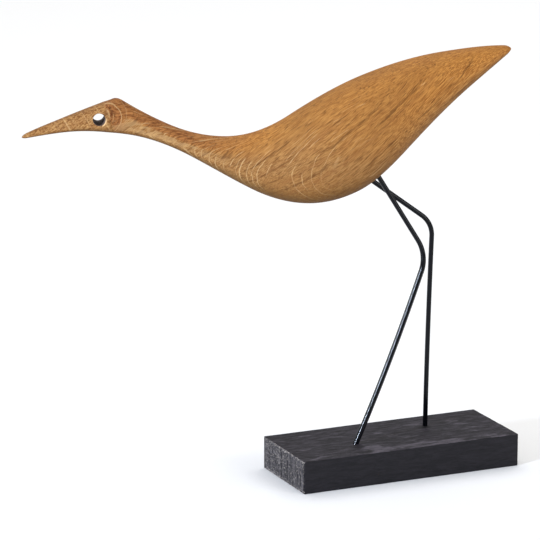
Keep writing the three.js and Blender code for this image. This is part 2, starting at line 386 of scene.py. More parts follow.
def rod_path(side, hip, knee, foot, bend, bow):
    """A rod's centre line: in side view a straight thigh, an arc round the knee, and a shank that
    bows slightly as a parabola. Across, it moves away from the bird's middle in proportion to its
    distance below the hip. The arc has as many points as the thigh."""
    hip, knee = np.array(hip), np.array(knee)
    foot_place = np.array([*foot, 0]) @ np.linalg.inv(to_block(np.eye(3)))
    spread = (abs(foot_place[1]) - HIP_ACROSS) / (hip[1] - BLOCK_HEIGHT)
    to_hip = (hip - knee) / np.linalg.norm(hip - knee)
    ground = np.array([foot_place[0], BLOCK_HEIGHT])
    to_foot = (ground - knee) / np.linalg.norm(ground - knee)
    opening = np.arccos(to_hip @ to_foot)
    reach = bend / np.tan(opening / 2)
    top = knee + to_hip * (np.linalg.norm(hip - knee) + BODY_SOCKET_DEPTH)
    bend_start, bend_end = knee + to_hip * reach, knee + to_foot * reach
    bottom = knee + to_foot * (np.linalg.norm(ground - knee) + BLOCK_SOCKET_DEPTH)
    inward = (to_hip + to_foot) / np.linalg.norm(to_hip + to_foot)
    centre = knee + inward * bend / np.sin(opening / 2)
    control = (bend_end + bottom) / 2 + 2 * bow * np.array([-to_foot[1], to_foot[0]])
    share = np.linspace(0, 1, THIGH_POINTS + 1)[:-1, None]
    thigh = top + (bend_start - top) * share
    angle = -(np.pi - opening) * share
    spoke = bend_start - centre
    turned = np.array([-spoke[1], spoke[0]])
    arc = centre + spoke * np.cos(angle) + turned * np.sin(angle)
    share = np.linspace(0, 1, SHANK_POINTS)[:, None]
    shank = bend_end * (1 - share) ** 2 + control * 2 * share * (1 - share) + bottom * share**2
    flat = np.vstack([thigh, arc, shank])
    across = side * (HIP_ACROSS + spread * (hip[1] - flat[:, 1]))
    return to_block(np.stack([flat[:, 0], across, flat[:, 1]], axis=-1))


def rod_rings(path, diameters):
    """A circle carried along a path that lies in one plane: the circle's axes are the plane's own
    normal and the path's sideways direction in that plane. The diameter goes from the first to the
    second by a smooth step, which takes in the knee."""
    tangent = np.gradient(path, axis=0)
    tangent /= np.linalg.norm(tangent, axis=1)[:, None]
    normal = np.cross(path[-1] - path[0], path[len(path) // 3] - path[0])
    normal /= np.linalg.norm(normal)
    sideways = np.cross(normal, tangent)
    angle = np.linspace(0, 2 * np.pi, ROD_SIDES, endpoint=False)[None, :, None]
    way = np.linspace(0, 1, len(path))[:, None, None]
    share = np.clip((way - THICKER_FROM) / (THICKER_TO - THICKER_FROM), 0, 1)
    radius = (diameters[0] + (diameters[1] - diameters[0]) * share * share * (3 - 2 * share)) / 2
    return path[:, None] + radius * (np.cos(angle) * sideways[:, None] + np.sin(angle) * normal)


# Black lacquer on steel: dipped, so it lies smooth with a faint waviness, and a softbox shows in it
# as a narrow line along the rod. The eye gets a crisp blue-black.
black_lacquer = new_material("black_lacquered_steel")
rod_place = add(black_lacquer, "TexCoord").node.outputs["Object"]
# The lacquer's waviness is about 2 mm long, and its dust specks about 0.3 mm.
waves = add(black_lacquer, "TexNoise", {}, {"Vector": rod_place, "Scale": 500, "Detail": 1})
dust = add(black_lacquer, "TexNoise", {}, {"Vector": rod_place, "Scale": 3000, "Detail": 2})
lacquer_share = add(black_lacquer, "MapRange", SMOOTH, {
    "Value": dust, "From Min": 0.35, "From Max": 0.7
})
lacquer_colour = add(black_lacquer, "Mix", IN_COLOUR, {
    "Factor": lacquer_share, "A": colour("04060a"), "B": colour("090b11")
})
lacquer_roughness = add(black_lacquer, "MapRange", {}, {
    "Value": waves, "From Min": 0.3, "From Max": 0.7, "To Min": 0.08, "To Max": 0.13
})
lacquer_height = add(black_lacquer, "Math", {"operation": "MULTIPLY_ADD"}, {
    0: dust, 1: 0.15, 2: waves
})
lacquer_bump = add(black_lacquer, "Bump", {}, {
    "Strength": 0.06, "Distance": 0.0001, "Height": lacquer_height
})
lacquer_shader = add(black_lacquer, "BsdfPrincipled", {}, {
    "Base Color": lacquer_colour,
    "Roughness": lacquer_roughness,
    "IOR": 1.46,
    "Specular IOR Level": 0.2,
    "Normal": lacquer_bump,
})
add(black_lacquer, "OutputMaterial", {}, {"Surface": lacquer_shader})

for name, leg, diameters in (
    ("left_leg", LEFT_LEG, LEFT_ROD_DIAMETERS),
    ("right_leg", RIGHT_LEG, RIGHT_ROD_DIAMETERS),
):
    leg_path = rod_path(**leg)
    rod = closed_skin(name + "_rod", rod_rings(leg_path, diameters), leg_path[0], leg_path[-1])
    rod.data.materials.append(black_lacquer)
    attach(rod, "root")
    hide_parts(name)


# The bird: sawn from one thick oak plank, carved and sanded round, and oiled. Beak, head, neck,
# body and tail are one piece, and the eye is a hole drilled straight through the head, its mouths
# eased with paper.

BEAK_TIP = -231.6
TAIL_TIP = 73.2
# Marks of the back and of the belly in side view: along, height and slope.
UPPER_LINE = (
    (BEAK_TIP, 220.5, 0.5),
    (-205, 231.4, 0.39),
    (-179.5, 240.85, 0.37),
    (-175.5, 242.55, 0.46),
    (-169, 241.55, -0.64),
    (-140, 225.7, -0.45),
    (-105, 217.5, -0.02),
    (-65, 229.95, 0.63),
    (-20, 253.95, 0.4),
    (30, 268.05, 0.15),
    (68, 271.6, -0.01),
    (TAIL_TIP, 270.7, -0.25),
)
LOWER_LINE = (
    (BEAK_TIP, 218.5, 0.15),
    (-195, 222.95, 0.01),
    (-165, 219.9, -0.18),
    (-125, 204.4, -0.57),
    (-90, 184.4, -0.53),
    (-55, 174.25, -0.04),
    (-22, 181.8, 0.5),
    (10, 209.95, 1.09),
    (45, 244.6, 0.86),
    (TAIL_TIP, 268.5, 0.87),
)
# Half the thickness from side to side. The head's flat cheek ends at a crease behind the eye, and
# the crease leans forward towards the crown.
HALF_THICKNESS = (
    (BEAK_TIP, 2, 0.07),
    (-184, 9.1, 0.12),
    (-179, 9.5, 0.04),
    (-177.6, 9.2, -0.6),
    (-172, 6.7, -0.2),
    (-147, 5.9, 0),
    (-95, 12.8, 0.28),
    (-30, 26.5, 0),
    (25, 17, -0.28),
    (TAIL_TIP, 3.4, -0.24),
)
CREASE_LEAN = 2
# How square each cross-section is above and below its widest place, where 2 is an ellipse.
UPPER_SQUARENESS = (
    (BEAK_TIP, 2.3, 0.01),
    (-200, 2.7, 0.01),
    (-181, 2.8, 0),
    (-173, 1.7, 0),
    (-130, 1.55, 0),
    (-60, 2.1, 0),
    (TAIL_TIP, 2.2, 0),
)
LOWER_SQUARENESS = (
    (BEAK_TIP, 2.3, 0.02),
    (-190, 2.7, 0),
    (-178, 2.7, 0),
    (-160, 2.3, 0),
    (-30, 2.15, 0),
    (TAIL_TIP, 2.5, 0),
)
BEAK_END_ROUND = 3
TAIL_END_ROUND = 3
BIRD_RINGS = 600
RING_SHIFT = 0.2
BIRD_SIDES = 128
EYE_ALONG = -184
EYE_HEIGHT = 231.3
EYE_DIAMETER = 7.6
EYE_BEVEL_FROM = 8.7
EYE_HALF_LENGTH = 14
EYE_RINGS = 113
EYE_SIDES = 72
SHARP_FROM = np.radians(28)


def line_at(marks, along):
    """A smooth line through marks: between two marks a smooth step from the one height to the
    other, and a cubic that is nothing at both and gives each its slope."""
    marks = np.array(marks, float)
    first = np.clip(np.searchsorted(marks[:, 0], along, side="right") - 1, 0, len(marks) - 2)
    x0, y0, slope0 = np.moveaxis(marks[first], -1, 0)
    x1, y1, slope1 = np.moveaxis(marks[first + 1], -1, 0)
    gap = x1 - x0
    t = (along - x0) / gap
    straight = y0 + (y1 - y0) * t * t * (3 - 2 * t)
    return straight + gap * t * (1 - t) * ((1 - t) * slope0 - t * slope1)


def bird_rings():
    """The bird's skin, a surface of the place along the bird and the angle around it: each
    cross-section is a superellipse between the back line and the belly line, and near both tips it
    shrinks by a quarter circle. The even places along are shifted a little, as a sine, which keeps
    the rings off the even places of the eye."""
    along = np.linspace(BEAK_TIP, TAIL_TIP, BIRD_RINGS + 2)[1:-1]
    along += RING_SHIFT * np.sin(2 * np.pi * (along - BEAK_TIP) / (TAIL_TIP - BEAK_TIP))
    angle = np.linspace(0, 2 * np.pi, BIRD_SIDES, endpoint=False)[None]
    sideways, upwards = np.cos(angle), np.sin(angle)
    beak = np.clip((along - BEAK_TIP) / BEAK_END_ROUND, 0, 1)
    tail = np.clip((TAIL_TIP - along) / TAIL_END_ROUND, 0, 1)
    shrink = np.sqrt((1 - (1 - beak) ** 2) * (1 - (1 - tail) ** 2))[:, None]
    upper, lower = line_at(UPPER_LINE, along)[:, None], line_at(LOWER_LINE, along)[:, None]
    leaning = np.clip(along[:, None] + CREASE_LEAN * upwards, BEAK_TIP, TAIL_TIP)
    half_width = line_at(HALF_THICKNESS, leaning) * shrink
    square = np.where(
        upwards > 0,
        line_at(UPPER_SQUARENESS, along)[:, None],
        line_at(LOWER_SQUARENESS, along)[:, None],
    )
    across = half_width * np.sign(sideways) * np.abs(sideways) ** (2 / square)
    half_height = (upper - lower) / 2 * shrink
    rise = half_height * np.sign(upwards) * np.abs(upwards) ** (2 / square)
    along = np.broadcast_to(along[:, None], across.shape)
    return to_block(np.stack([along, across, (upper + lower) / 2 + rise], axis=-1))


def drill_rings():
    """The eye's drill, a circle carried along the across axis: its radius is constant within the
    head, and grows by as much as the depth does past each mouth, which eases the mouth at 45
    degrees."""
    depth = np.linspace(-EYE_HALF_LENGTH, EYE_HALF_LENGTH, EYE_RINGS)
    past = np.clip(np.abs(depth) - EYE_BEVEL_FROM, 0, None)
    radius = EYE_DIAMETER / 2 + past
    angle = np.linspace(0, 2 * np.pi, EYE_SIDES, endpoint=False)[None]
    along = EYE_ALONG + radius[:, None] * np.sin(angle)
    height = EYE_HEIGHT + radius[:, None] * np.cos(angle)
    across = np.broadcast_to(depth[:, None], along.shape)
    return to_block(np.stack([along, across, height], axis=-1))


# Oiled oak: the fibre rises 40 degrees towards the tail and shows in short wavy strokes, the growth
# rings in bands along it, and the rays in pale lines that follow the carved shape like contour
# lines. Where the surface cuts across the fibre it drinks more oil and turns redder and darker. The
# eye gets a warm satin. The places and directions below are the bird's own: along, across and
# height.
FIBRE_RISE = np.radians(40)
PLANK_MIDDLE = Vector((-20, 0, 225))
HEART_DISTANCE = 150
EARLY_LINE_SPACING = 7.2
RAYS_FACE = Vector((-0.21, 0.945, 0.245))
RAY_SPACING = 2
BEND_FACES = Vector((-0.31, 0, 0.95))
BEND_FROM = 25
BEND_SHARPNESS = 0.0062
CHEEK_RAYS_FACE = (0.87, 0.1, 0.5)
CHEEK_RAY_SPACING = 9
# The crease is where the place along and this share of the height add up to -96 mm.
CREASE_SLANT = 0.35
AT_CREASE = -96
LOOPS_MIDDLE = (-177.5, 0, 232)
LOOP_SPACING = 3.7
MOTTLE_CONTRAST = 2.4
THICKEST_ALONG = -40
BREAST_PATCH = (-76, 0, 189)
# The side of the eye's mouth that gets the painted highlight.
MOUTH_HIGHLIGHT_SIDE = (0.85, 0, -0.5)

oiled_oak = new_material("oiled_oak")
bird_place = add(oiled_oak, "TexCoord").node.outputs["Object"]
# The plank's own directions, in the bird's: along the fibre, across the sheets of rays, and
# outwards from the heart.
fibre = Vector((np.cos(FIBRE_RISE), 0, np.sin(FIBRE_RISE)))
outwards = fibre.cross(RAYS_FACE).normalized()
across_rays = outwards.cross(fibre)
plank_axes = Matrix((fibre, across_rays, outwards))
turn_of_bird = Matrix.Rotation(BIRD_TURN, 3, "Z")
plank_turn = plank_axes @ turn_of_bird.transposed()
plank = add(oiled_oak, "Mapping", {}, {
    "Vector": bird_place,
    "Location": -(plank_axes @ PLANK_MIDDLE),
    "Rotation": plank_turn.to_euler(),
    "Scale": (1000, 1000, 1000),
})
on_bird = add(oiled_oak, "Mapping", {}, {
    "Vector": bird_place, "Rotation": (0, 0, -BIRD_TURN), "Scale": (1000, 1000, 1000)
})
along_bird = add(oiled_oak, "SeparateXYZ", {}, {"Vector": on_bird}).node.outputs["X"]
# From the body, where this is 0, to the neck and the head, where it is 1.
in_neck = add(oiled_oak, "MapRange", {}, {"Value": along_bird, "From Min": -85, "From Max": -125})
# How far the surface faces upwards, and how far it faces along the fibre.
facing = add(oiled_oak, "TexCoord").node.outputs["Normal"]
upright = add(oiled_oak, "SeparateXYZ", {}, {"Vector": facing}).node.outputs["Z"]
along_fibre = add(oiled_oak, "VectorMath", {"operation": "DOT_PRODUCT"}, {
    0: facing, 1: turn_of_bird @ fibre
})
# The fibre closes in towards the tail as the flanks do, drifts by about 3 mm over about 45 mm, and
# waves by half a millimetre over about 8 mm.
closing = add(oiled_oak, "MapRange", {}, {
    "Value": along_bird, "From Max": TAIL_TIP, "To Min": 1, "To Max": 3
})
closing = add(oiled_oak, "CombineXYZ", {}, {"X": 1, "Y": closing, "Z": 1})
plank = add(oiled_oak, "VectorMath", {"operation": "MULTIPLY"}, {0: plank, 1: closing})
drift = wander(oiled_oak, plank, (0.008, 0.022, 0.022))
grain = add(oiled_oak, "VectorMath", {"operation": "MULTIPLY_ADD"}, {
    0: drift, 1: (0, 6, 9), 2: plank
})
wave = wander(oiled_oak, plank, (0.1, 0.12, 0.12))
grain = add(oiled_oak, "VectorMath", {"operation": "MULTIPLY_ADD"}, {
    0: wave, 1: (0, 1.2, 1.6), 2: grain
})
# Strokes of the fibre, pale and dark, 0.5 mm wide, 8 mm long and 0.8 mm deep.
strokes = stretched_noise(oiled_oak, grain, (0.12, 1.2, 2.1), detail=2, roughness=0.7)
# On the back they are longer and finer.
off_back = add(oiled_oak, "MapRange", {}, {"Value": upright, "From Min": 0.65, "From Max": 0.3})
back_strokes = stretched_noise(oiled_oak, grain, (0.1, 1.9, 0.6), detail=2, roughness=0.7)
strokes = add(oiled_oak, "Mix", {"data_type": "FLOAT"}, {
    "Factor": off_back, "A": back_strokes, "B": strokes
})
# On the nape, where the fibre ends in the surface, they follow the sheets of rays and run
# lengthwise.
sheets = stretched_noise(oiled_oak, plank, (0.08, 3, 0.3), detail=2, roughness=0.7)
on_nape = add(oiled_oak, "MapRange", SMOOTH, {
    "Value": along_fibre, "From Min": 0.1, "From Max": 0.4, "To Max": in_neck
})
strokes = add(oiled_oak, "Mix", {"data_type": "FLOAT"}, {
    "Factor": on_nape, "A": strokes, "B": sheets
})
# In the head they are cut short, to a mottle of 1 mm with more contrast.
in_head = add(oiled_oak, "MapRange", SMOOTH, {
    "Value": along_bird, "From Min": -172, "From Max": -181
})
mottle = stretched_noise(oiled_oak, grain, (0.55, 1, 1.1), detail=3, roughness=0.7)
mottle = add(oiled_oak, "Math", {"operation": "MULTIPLY_ADD"}, {
    0: mottle, 1: MOTTLE_CONTRAST, 2: (1 - MOTTLE_CONTRAST) / 2
})
mottle_share = add(oiled_oak, "Math", {"operation": "MULTIPLY"}, {0: in_head, 1: 0.75})
strokes = add(oiled_oak, "Mix", {"data_type": "FLOAT"}, {
    "Factor": mottle_share, "A": strokes, "B": mottle
})
# Pores are dark dashes 0.6 mm wide and 10 mm long, twice as coarse as real so that they show.
pores = stretched_noise(oiled_oak, grain, (0.1, 0.8, 1.7), detail=2)
# The rings are cylinders round the tree's heart, 150 mm off: bands of uneven tone, 2 to 8 mm wide.
from_heart = add(oiled_oak, "VectorMath", {"operation": "ADD"}, {
    0: grain, 1: (0, 0, HEART_DISTANCE)
})
from_heart = add(oiled_oak, "VectorMath", {"operation": "MULTIPLY"}, {0: from_heart, 1: (0, 1, 1)})
ring_radius = add(oiled_oak, "VectorMath", {"operation": "LENGTH"}, {0: from_heart})
rings = add(oiled_oak, "TexNoise", {"noise_dimensions": "1D"}, {
    "W": ring_radius, "Scale": 0.16, "Detail": 3, "Roughness": 0.7
})
# Every few rings there is a line of wide early pores, darker and broken along the fibre.
ring_count = add(oiled_oak, "Math", {"operation": "MULTIPLY_ADD"}, {0: rings, 1: 3, 2: ring_radius})
in_ring = add(oiled_oak, "Math", {"operation": "PINGPONG"}, {
    0: ring_count, 1: EARLY_LINE_SPACING / 2
})
early_line = add(oiled_oak, "MapRange", SMOOTH, {
    "Value": in_ring, "From Min": 0.9, "From Max": 0.1
})
broken = stretched_noise(oiled_oak, grain, (0.025, 0.06, 0.14), detail=1)
broken = add(oiled_oak, "MapRange", SMOOTH, {"Value": broken, "From Min": 0.46, "From Max": 0.62})
early_line = add(oiled_oak, "Math", {"operation": "MULTIPLY"}, {0: early_line, 1: broken})
# They show on the flanks, and hardly on the back.
early_line = add(oiled_oak, "Math", {"operation": "MULTIPLY"}, {0: early_line, 1: off_back})
pores = add(oiled_oak, "Math", {"operation": "MULTIPLY_ADD"}, {0: early_line, 1: 0.12, 2: pores})
pores = add(oiled_oak, "MapRange", SMOOTH, {"Value": pores, "From Min": 0.55, "From Max": 0.7})
# The sheets of rays lie 2 mm apart, bend over in the head as a parabola, and are broken into
# stretches.
ray_parts = add(oiled_oak, "SeparateXYZ", {}, {"Vector": grain}).node
bend_axis = plank_axes @ BEND_FACES
bend = add(oiled_oak, "VectorMath", {"operation": "DOT_PRODUCT"}, {0: grain, 1: bend_axis})
bend = add(oiled_oak, "Math", {"operation": "SUBTRACT"}, {0: bend, 1: BEND_FROM})
bend = add(oiled_oak, "Math", {"operation": "MAXIMUM"}, {0: bend, 1: 0})
bend = add(oiled_oak, "Math", {"operation": "POWER"}, {0: bend, 1: 2})
ray_depth = add(oiled_oak, "Math", {"operation": "MULTIPLY_ADD"}, {
    0: bend, 1: -BEND_SHARPNESS, 2: ray_parts.outputs["Y"]
})
ray_count = add(oiled_oak, "Math", {"operation": "DIVIDE"}, {0: ray_depth, 1: RAY_SPACING})
ray_uneven = add(oiled_oak, "TexNoise", {"noise_dimensions": "1D"}, {
    "W": ray_count, "Scale": 0.7, "Detail": 1
})
ray_count = add(oiled_oak, "Math", {"operation": "MULTIPLY_ADD"}, {
    0: ray_uneven, 1: 1.8, 2: ray_count
})
in_ray = add(oiled_oak, "Math", {"operation": "PINGPONG"}, {0: ray_count, 1: 0.5})
ray_line = add(oiled_oak, "MapRange", SMOOTH, {"Value": in_ray, "From Min": 0.1, "From Max": 0.03})
stretches = stretched_noise(oiled_oak, grain, (0.07, 0.25, 0.03), detail=2)
# They are fewer towards the tail, and one that lies in the surface shows only faintly.
fewer = add(oiled_oak, "MapRange", {}, {
    "Value": ray_parts.outputs["X"], "From Min": -25, "From Max": 30, "To Max": 0.2
})
stretches = add(oiled_oak, "Math", {"operation": "SUBTRACT"}, {0: stretches, 1: fewer})
stretches = add(oiled_oak, "MapRange", SMOOTH, {
    "Value": stretches, "From Min": 0.45, "From Max": 0.56
})
rays = add(oiled_oak, "Math", {"operation": "MULTIPLY"}, {0: ray_line, 1: stretches})
flatness = add(oiled_oak, "VectorMath", {"operation": "DOT_PRODUCT"}, {
    0: facing, 1: turn_of_bird @ across_rays
})
flatness = add(oiled_oak, "Math", {"operation": "ABSOLUTE"}, {0: flatness})
faint = add(oiled_oak, "MapRange", {}, {
    "Value": flatness, "From Min": 0.9, "From Max": 0.975, "To Min": 1, "To Max": 0
})
rays = add(oiled_oak, "Math", {"operation": "MULTIPLY"}, {0: rays, 1: faint})
# In the neck such a ray shows as a broad silky fleck.
flecks = stretched_noise(oiled_oak, on_bird, (0.09, 0.2, 0.35), detail=2)
flecks = add(oiled_oak, "MapRange", SMOOTH, {
    "Value": flecks, "From Min": 0.46, "From Max": 0.54, "To Max": 0.48
})
in_surface = add(oiled_oak, "MapRange", {}, {
    "Value": flatness, "From Min": 0.86, "From Max": 0.93, "To Max": in_neck
})
flecks = add(oiled_oak, "Math", {"operation": "MULTIPLY"}, {0: flecks, 1: in_surface})
rays = add(oiled_oak, "Math", {"operation": "MAXIMUM"}, {0: rays, 1: flecks})
below_back = add(oiled_oak, "MapRange", {}, {"Value": upright, "From Min": 0.75, "From Max": 0.4})
below_back = add(oiled_oak, "Math", {"operation": "MAXIMUM"}, {0: below_back, 1: in_neck})
rays = add(oiled_oak, "Math", {"operation": "MULTIPLY"}, {0: rays, 1: below_back})
# On the flat cheek and the beak they show as bands that slant down and back, about 9 mm apart.
cheek_depth = add(oiled_oak, "VectorMath", {"operation": "DOT_PRODUCT"}, {
    0: on_bird, 1: CHEEK_RAYS_FACE
})
cheek_count = add(oiled_oak, "Math", {"operation": "DIVIDE"}, {
    0: cheek_depth, 1: CHEEK_RAY_SPACING
})
cheek_uneven = add(oiled_oak, "TexNoise", {"noise_dimensions": "1D"}, {
    "W": cheek_count, "Scale": 1.3, "Detail": 1
})
cheek_count = add(oiled_oak, "Math", {"operation": "MULTIPLY_ADD"}, {
    0: cheek_uneven, 1: 1.5, 2: cheek_count
})
cheek_rays = add(oiled_oak, "Math", {"operation": "PINGPONG"}, {0: cheek_count, 1: 0.5})
cheek_rays = add(oiled_oak, "MapRange", SMOOTH, {
    "Value": cheek_rays, "From Min": 0.07, "From Max": 0.02
})
before_crease = add(oiled_oak, "VectorMath", {"operation": "DOT_PRODUCT"}, {
    0: on_bird, 1: (1, 0, CREASE_SLANT)
})
on_cheek = add(oiled_oak, "MapRange", {}, {
    "Value": before_crease, "From Min": AT_CREASE, "From Max": AT_CREASE - 1.2
})
cheek_faint = add(oiled_oak, "MapRange", {}, {
    "Value": cheek_uneven, "From Min": 0.35, "From Max": 0.6, "To Max": 0.7
})
cheek_rays = add(oiled_oak, "Math", {"operation": "MULTIPLY"}, {0: cheek_rays, 1: cheek_faint})
rays = add(oiled_oak, "Mix", {"data_type": "FLOAT"}, {
    "Factor": on_cheek, "A": rays, "B": cheek_rays
})
# Just behind the crease they are cut across, and show as nested loops that reach back, 3.7 mm
# apart.
loop_spoke = spoke_from(oiled_oak, on_bird, LOOPS_MIDDLE, (1, 0, 0.8))
loop_spoke = add(oiled_oak, "VectorMath", {"operation": "MULTIPLY_ADD"}, {
    0: wave, 1: (3, 0, 3), 2: loop_spoke
})
from_crease = add(oiled_oak, "VectorMath", {"operation": "LENGTH"}, {0: loop_spoke})
loops = add(oiled_oak, "Math", {"operation": "PINGPONG"}, {0: from_crease, 1: LOOP_SPACING / 2})
loops = add(oiled_oak, "MapRange", SMOOTH, {
    "Value": loops, "From Min": 0.45, "From Max": 0.15, "To Max": 0.95
})
past_first = add(oiled_oak, "MapRange", {}, {"Value": from_crease, "From Min": 4, "From Max": 7})
loops = add(oiled_oak, "Math", {"operation": "MULTIPLY"}, {0: loops, 1: past_first})
by_crease = add(oiled_oak, "MapRange", {}, {"Value": from_crease, "From Min": 13, "From Max": 7})
off_cheek = add(oiled_oak, "Math", {"operation": "SUBTRACT"}, {0: 1, 1: on_cheek})
by_crease = add(oiled_oak, "Math", {"operation": "MULTIPLY"}, {0: by_crease, 1: off_cheek})
loops = add(oiled_oak, "Math", {"operation": "MULTIPLY"}, {0: loops, 1: by_crease})
rays = add(oiled_oak, "Math", {"operation": "MAXIMUM"}, {0: rays, 1: loops})
# The colour is tan where the surface faces back along the fibre, and orange and then red-brown
# where it faces forward along it.
orange_share = add(oiled_oak, "MapRange", SMOOTH, {
    "Value": along_fibre, "From Min": -0.3, "From Max": 0.3
})
# The heartwood is redder towards the neck, and paler again in the head.
off_orange = add(oiled_oak, "Math", {"operation": "MULTIPLY_ADD"}, {
    0: in_neck, 1: 0.45, 2: in_head
})
# The lower flanks are less orange too.
low_flank = add(oiled_oak, "MapRange", {}, {
    "Value": upright, "From Min": 0.05, "From Max": -0.4, "To Max": 0.55
})
off_orange = add(oiled_oak, "Math", {"operation": "ADD"}, {0: off_orange, 1: low_flank})
orange_share = add(oiled_oak, "Math", {"operation": "SUBTRACT", "use_clamp": True}, {
    0: orange_share, 1: off_orange
})
redder = add(oiled_oak, "MapRange", {}, {
    "Value": along_bird, "From Min": -78, "From Max": -130, "To Min": 0.08, "To Max": 0.8
})
red_share = add(oiled_oak, "MapRange", SMOOTH, {
    "Value": along_fibre, "From Min": -0.05, "From Max": 0.35, "To Max": redder
})
end_grain = add(oiled_oak, "MapRange", {}, {
    "Value": along_fibre, "From Min": 0.7, "From Max": 1, "To Max": 0.5
})
red_share = add(oiled_oak, "Math", {"operation": "MAXIMUM"}, {0: red_share, 1: end_grain})
# Round the crease it is redder and darker, with painted shade behind the crease, but hardly on the
# cheek.
painted_crease_shade = add(oiled_oak, "Math", {"operation": "MULTIPLY"}, {0: by_crease, 1: 0.95})
red_share = add(oiled_oak, "Math", {"operation": "MAXIMUM"}, {0: red_share, 1: painted_crease_shade})
cheek_red = add(oiled_oak, "MapRange", {}, {"Value": on_cheek, "To Min": 1, "To Max": 0.3})
red_share = add(oiled_oak, "Math", {"operation": "MULTIPLY"}, {0: red_share, 1: cheek_red})
# Where it faces furthest back, it turns olive.
olive_share = add(oiled_oak, "MapRange", SMOOTH, {
    "Value": along_fibre, "From Min": -0.4, "From Max": -0.95, "To Max": 0.7
})
# Each of these colours is a pair, for the dark strokes and for the pale ones.
stroke_share = add(oiled_oak, "MapRange", {}, {
    "Value": strokes, "From Min": 0.39, "From Max": 0.61
})
tan = add(oiled_oak, "Mix", IN_COLOUR, {
    "Factor": stroke_share, "A": colour("7a4f27"), "B": colour("ab814e")
})
orange = add(oiled_oak, "Mix", IN_COLOUR, {
    "Factor": stroke_share, "A": colour("8f5823"), "B": colour("c88b44")
})
oak_colour = add(oiled_oak, "Mix", IN_COLOUR, {"Factor": orange_share, "A": tan, "B": orange})
# Slow changes of tone through the plank, 30 mm wide and 80 mm long.
tone = stretched_noise(oiled_oak, grain, (0.012, 0.034, 0.034), detail=2)
tone_share = add(oiled_oak, "MapRange", {}, {
    "Value": tone, "From Min": 0.4, "From Max": 0.7, "To Max": 0.35
})
# The thick of the body is duller all over.
from_thickest = add(oiled_oak, "Math", {"operation": "ADD"}, {0: along_bird, 1: -THICKEST_ALONG})
from_thickest = add(oiled_oak, "Math", {"operation": "ABSOLUTE"}, {0: from_thickest})
duller = add(oiled_oak, "MapRange", {}, {
    "Value": from_thickest, "From Min": 60, "From Max": 20, "To Max": 0.28
})
tone_share = add(oiled_oak, "Math", {"operation": "ADD"}, {0: tone_share, 1: duller})
# Low on the breast there is a darker patch 20 mm across.
breast_patch = spoke_from(oiled_oak, on_bird, BREAST_PATCH, (0.09, 0, 0.12))
breast_patch = add(oiled_oak, "VectorMath", {"operation": "MULTIPLY_ADD"}, {
    0: wave, 1: (1, 0, 1), 2: breast_patch
})
breast_patch = add(oiled_oak, "VectorMath", {"operation": "LENGTH"}, {0: breast_patch})
breast_patch = add(oiled_oak, "MapRange", SMOOTH, {
    "Value": breast_patch, "From Min": 1.2, "From Max": 0.5, "To Max": 0.4
})
tone_share = add(oiled_oak, "Math", {"operation": "ADD"}, {0: tone_share, 1: breast_patch})
ring_share = add(oiled_oak, "MapRange", {}, {
    "Value": rings, "From Min": 0.45, "From Max": 0.75, "To Max": 0.4
})
ring_share = add(oiled_oak, "Math", {"operation": "MULTIPLY"}, {0: ring_share, 1: off_back})
early_share = add(oiled_oak, "Math", {"operation": "MULTIPLY"}, {0: early_line, 1: 0.45})
red = add(oiled_oak, "Mix", IN_COLOUR, {
    "Factor": stroke_share, "A": colour("65361a"), "B": colour("a56c3c")
})
pore_share = add(oiled_oak, "Math", {"operation": "MULTIPLY"}, {0: pores, 1: 0.55})
ray_share = add(oiled_oak, "Math", {"operation": "MULTIPLY"}, {0: rays, 1: 0.55})
# The underside is painted darker than the sides: painted shade from below.
painted_underside_shade = add(oiled_oak, "MapRange", SMOOTH, {
    "Value": upright, "From Min": -0.3, "From Max": -0.95, "To Max": 0.85
})
# The wall of the drilled eye is darker, and its mouth has a painted highlight at the lower back.
eye_spoke = spoke_from(oiled_oak, on_bird, (EYE_ALONG, 0, EYE_HEIGHT), (1, 0, 1))
from_eye = add(oiled_oak, "VectorMath", {"operation": "LENGTH"}, {0: eye_spoke})
# A painted highlight on the mouth's lower back edge.
painted_mouth_highlight = add(oiled_oak, "VectorMath", {"operation": "DOT_PRODUCT"}, {0: eye_spoke, 1: MOUTH_HIGHLIGHT_SIDE})
painted_mouth_highlight = add(oiled_oak, "MapRange", SMOOTH, {
    "Value": painted_mouth_highlight, "From Min": EYE_DIAMETER * 0.4, "From Max": EYE_DIAMETER * 0.55
})
mouth = add(oiled_oak, "MapRange", SMOOTH, {
    "Value": from_eye, "From Min": EYE_DIAMETER / 2 + 1.2, "From Max": EYE_DIAMETER / 2 + 0.6
})
painted_mouth_highlight = add(oiled_oak, "Math", {"operation": "MULTIPLY"}, {0: painted_mouth_highlight, 1: mouth})
dark_eye_wall = add(oiled_oak, "MapRange", SMOOTH, {
    "Value": from_eye, "From Min": EYE_DIAMETER / 2 + 0.25, "From Max": EYE_DIAMETER / 2 + 0.05
})
# The colours lie one over another, each by its share.
for share, over in (
    (tone_share, colour("8a5e30")),
    (ring_share, colour("82522a")),
    (early_share, colour("6b421d")),
    (red_share, red),
    (olive_share, colour("6f5430")),
    (pore_share, colour("5a371a")),
    (ray_share, colour("cda874")),
    (painted_underside_shade, colour("53350f")),
    (painted_mouth_highlight, colour("d3ae7d")),
    (dark_eye_wall, colour("6b5a52")),
):
    oak_colour = add(oiled_oak, "Mix", IN_COLOUR, {"Factor": share, "A": oak_colour, "B": over})
oak_height = add(oiled_oak, "Math", {"operation": "MULTIPLY_ADD"}, {0: pores, 1: -1, 2: strokes})
oak_bump = add(oiled_oak, "Bump", {}, {"Strength": 0.5, "Distance": 0.0003, "Height": oak_height})
oak_roughness = add(oiled_oak, "MapRange", {}, {
    "Value": strokes, "From Min": 0.3, "From Max": 0.7, "To Min": 0.58, "To Max": 0.7
})
